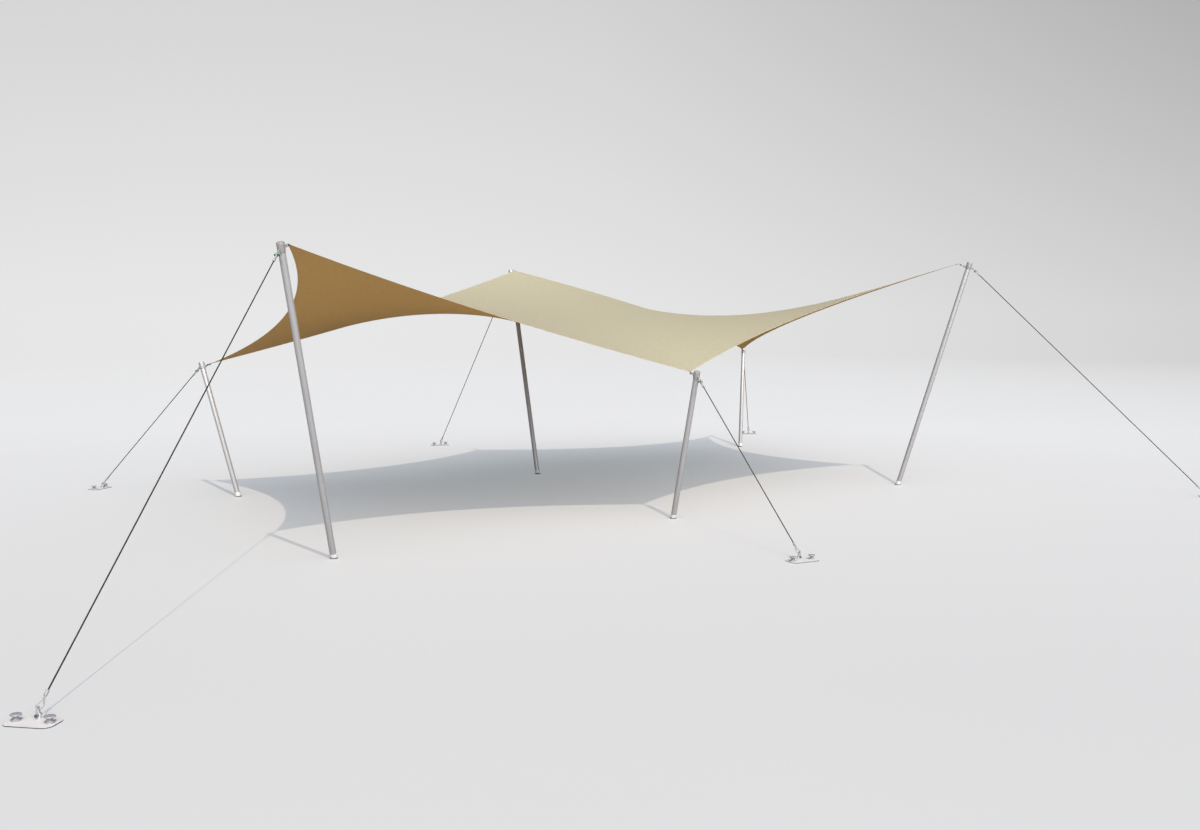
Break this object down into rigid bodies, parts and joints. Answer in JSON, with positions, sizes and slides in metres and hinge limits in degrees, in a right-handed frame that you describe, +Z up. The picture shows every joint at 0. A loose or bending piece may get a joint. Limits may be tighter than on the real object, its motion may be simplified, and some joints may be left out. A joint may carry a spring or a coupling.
{
  "type": "stretch tent",
  "caption": "Freeform stretch tent: a taut saddle-shaped cloth canopy on outward-leaning poles, each stayed by a guy rope to a pegged ground plate.",
  "frame": {"origin": "centre of the tent's plan at ground level", "axes": "+X along the long side of the canopy to the right, +Y from the front edge to the back edge, +Z up from the ground"},
  "size_m": [16.6014, 12.661, 3.3745],
  "materials": {
    "cloth": "matt woven stretch cloth, beige above and golden tan below",
    "pole": "satin",
    "head": "satin",
    "foot": "matt white",
    "steel": "galvanised",
    "green_steel": "galvanised shackle with a green painted pin",
    "rope": "dark grey laid rope with galvanised eyes and ferrules",
    "anchor": "pale galvanised plate with mid grey peg heads"
  },
  "bodies": {
    "root": {"canopy": "cloth", "pole_front_left": "pole", "pole_front_middle": "pole", "pole_front_right": "pole", "pole_back_right": "pole", "pole_back_middle": "pole", "pole_back_left": "pole", "pole_cap_front_left": "head", "pole_cap_front_middle": "head", "pole_cap_front_right": "head", "pole_cap_back_right": "head", "pole_cap_back_middle": "head", "pole_cap_back_left": "head", "pole_foot_front_left": "foot", "pole_foot_front_middle": "foot", "pole_foot_front_right": "foot", "pole_foot_back_right": "foot", "pole_foot_back_middle": "foot", "pole_foot_back_left": "foot", "canopy_shackle_front_left": "steel", "canopy_shackle_front_middle": "steel", "canopy_shackle_front_right": "steel", "canopy_shackle_back_right": "steel", "canopy_shackle_back_middle": "steel", "canopy_shackle_back_left": "steel", "guy_shackle_front_left": "green_steel", "guy_shackle_front_middle": "green_steel", "guy_shackle_front_right": "green_steel", "guy_shackle_back_right": "green_steel", "guy_shackle_back_middle": "green_steel", "guy_shackle_back_left": "green_steel", "guy_rope_front_left": "rope", "guy_rope_front_middle": "rope", "guy_rope_front_right": "rope", "guy_rope_back_right": "rope", "guy_rope_back_middle": "rope", "guy_rope_back_left": "rope", "anchor_shackle_front_left": "steel", "anchor_shackle_front_middle": "steel", "anchor_shackle_front_right": "steel", "anchor_shackle_back_right": "steel", "anchor_shackle_back_middle": "steel", "anchor_shackle_back_left": "steel", "ground_anchor_front_left": "anchor", "ground_anchor_front_middle": "anchor", "ground_anchor_front_right": "anchor", "ground_anchor_back_right": "anchor", "ground_anchor_back_middle": "anchor", "ground_anchor_back_left": "anchor"}
  },
  "joints": []
}
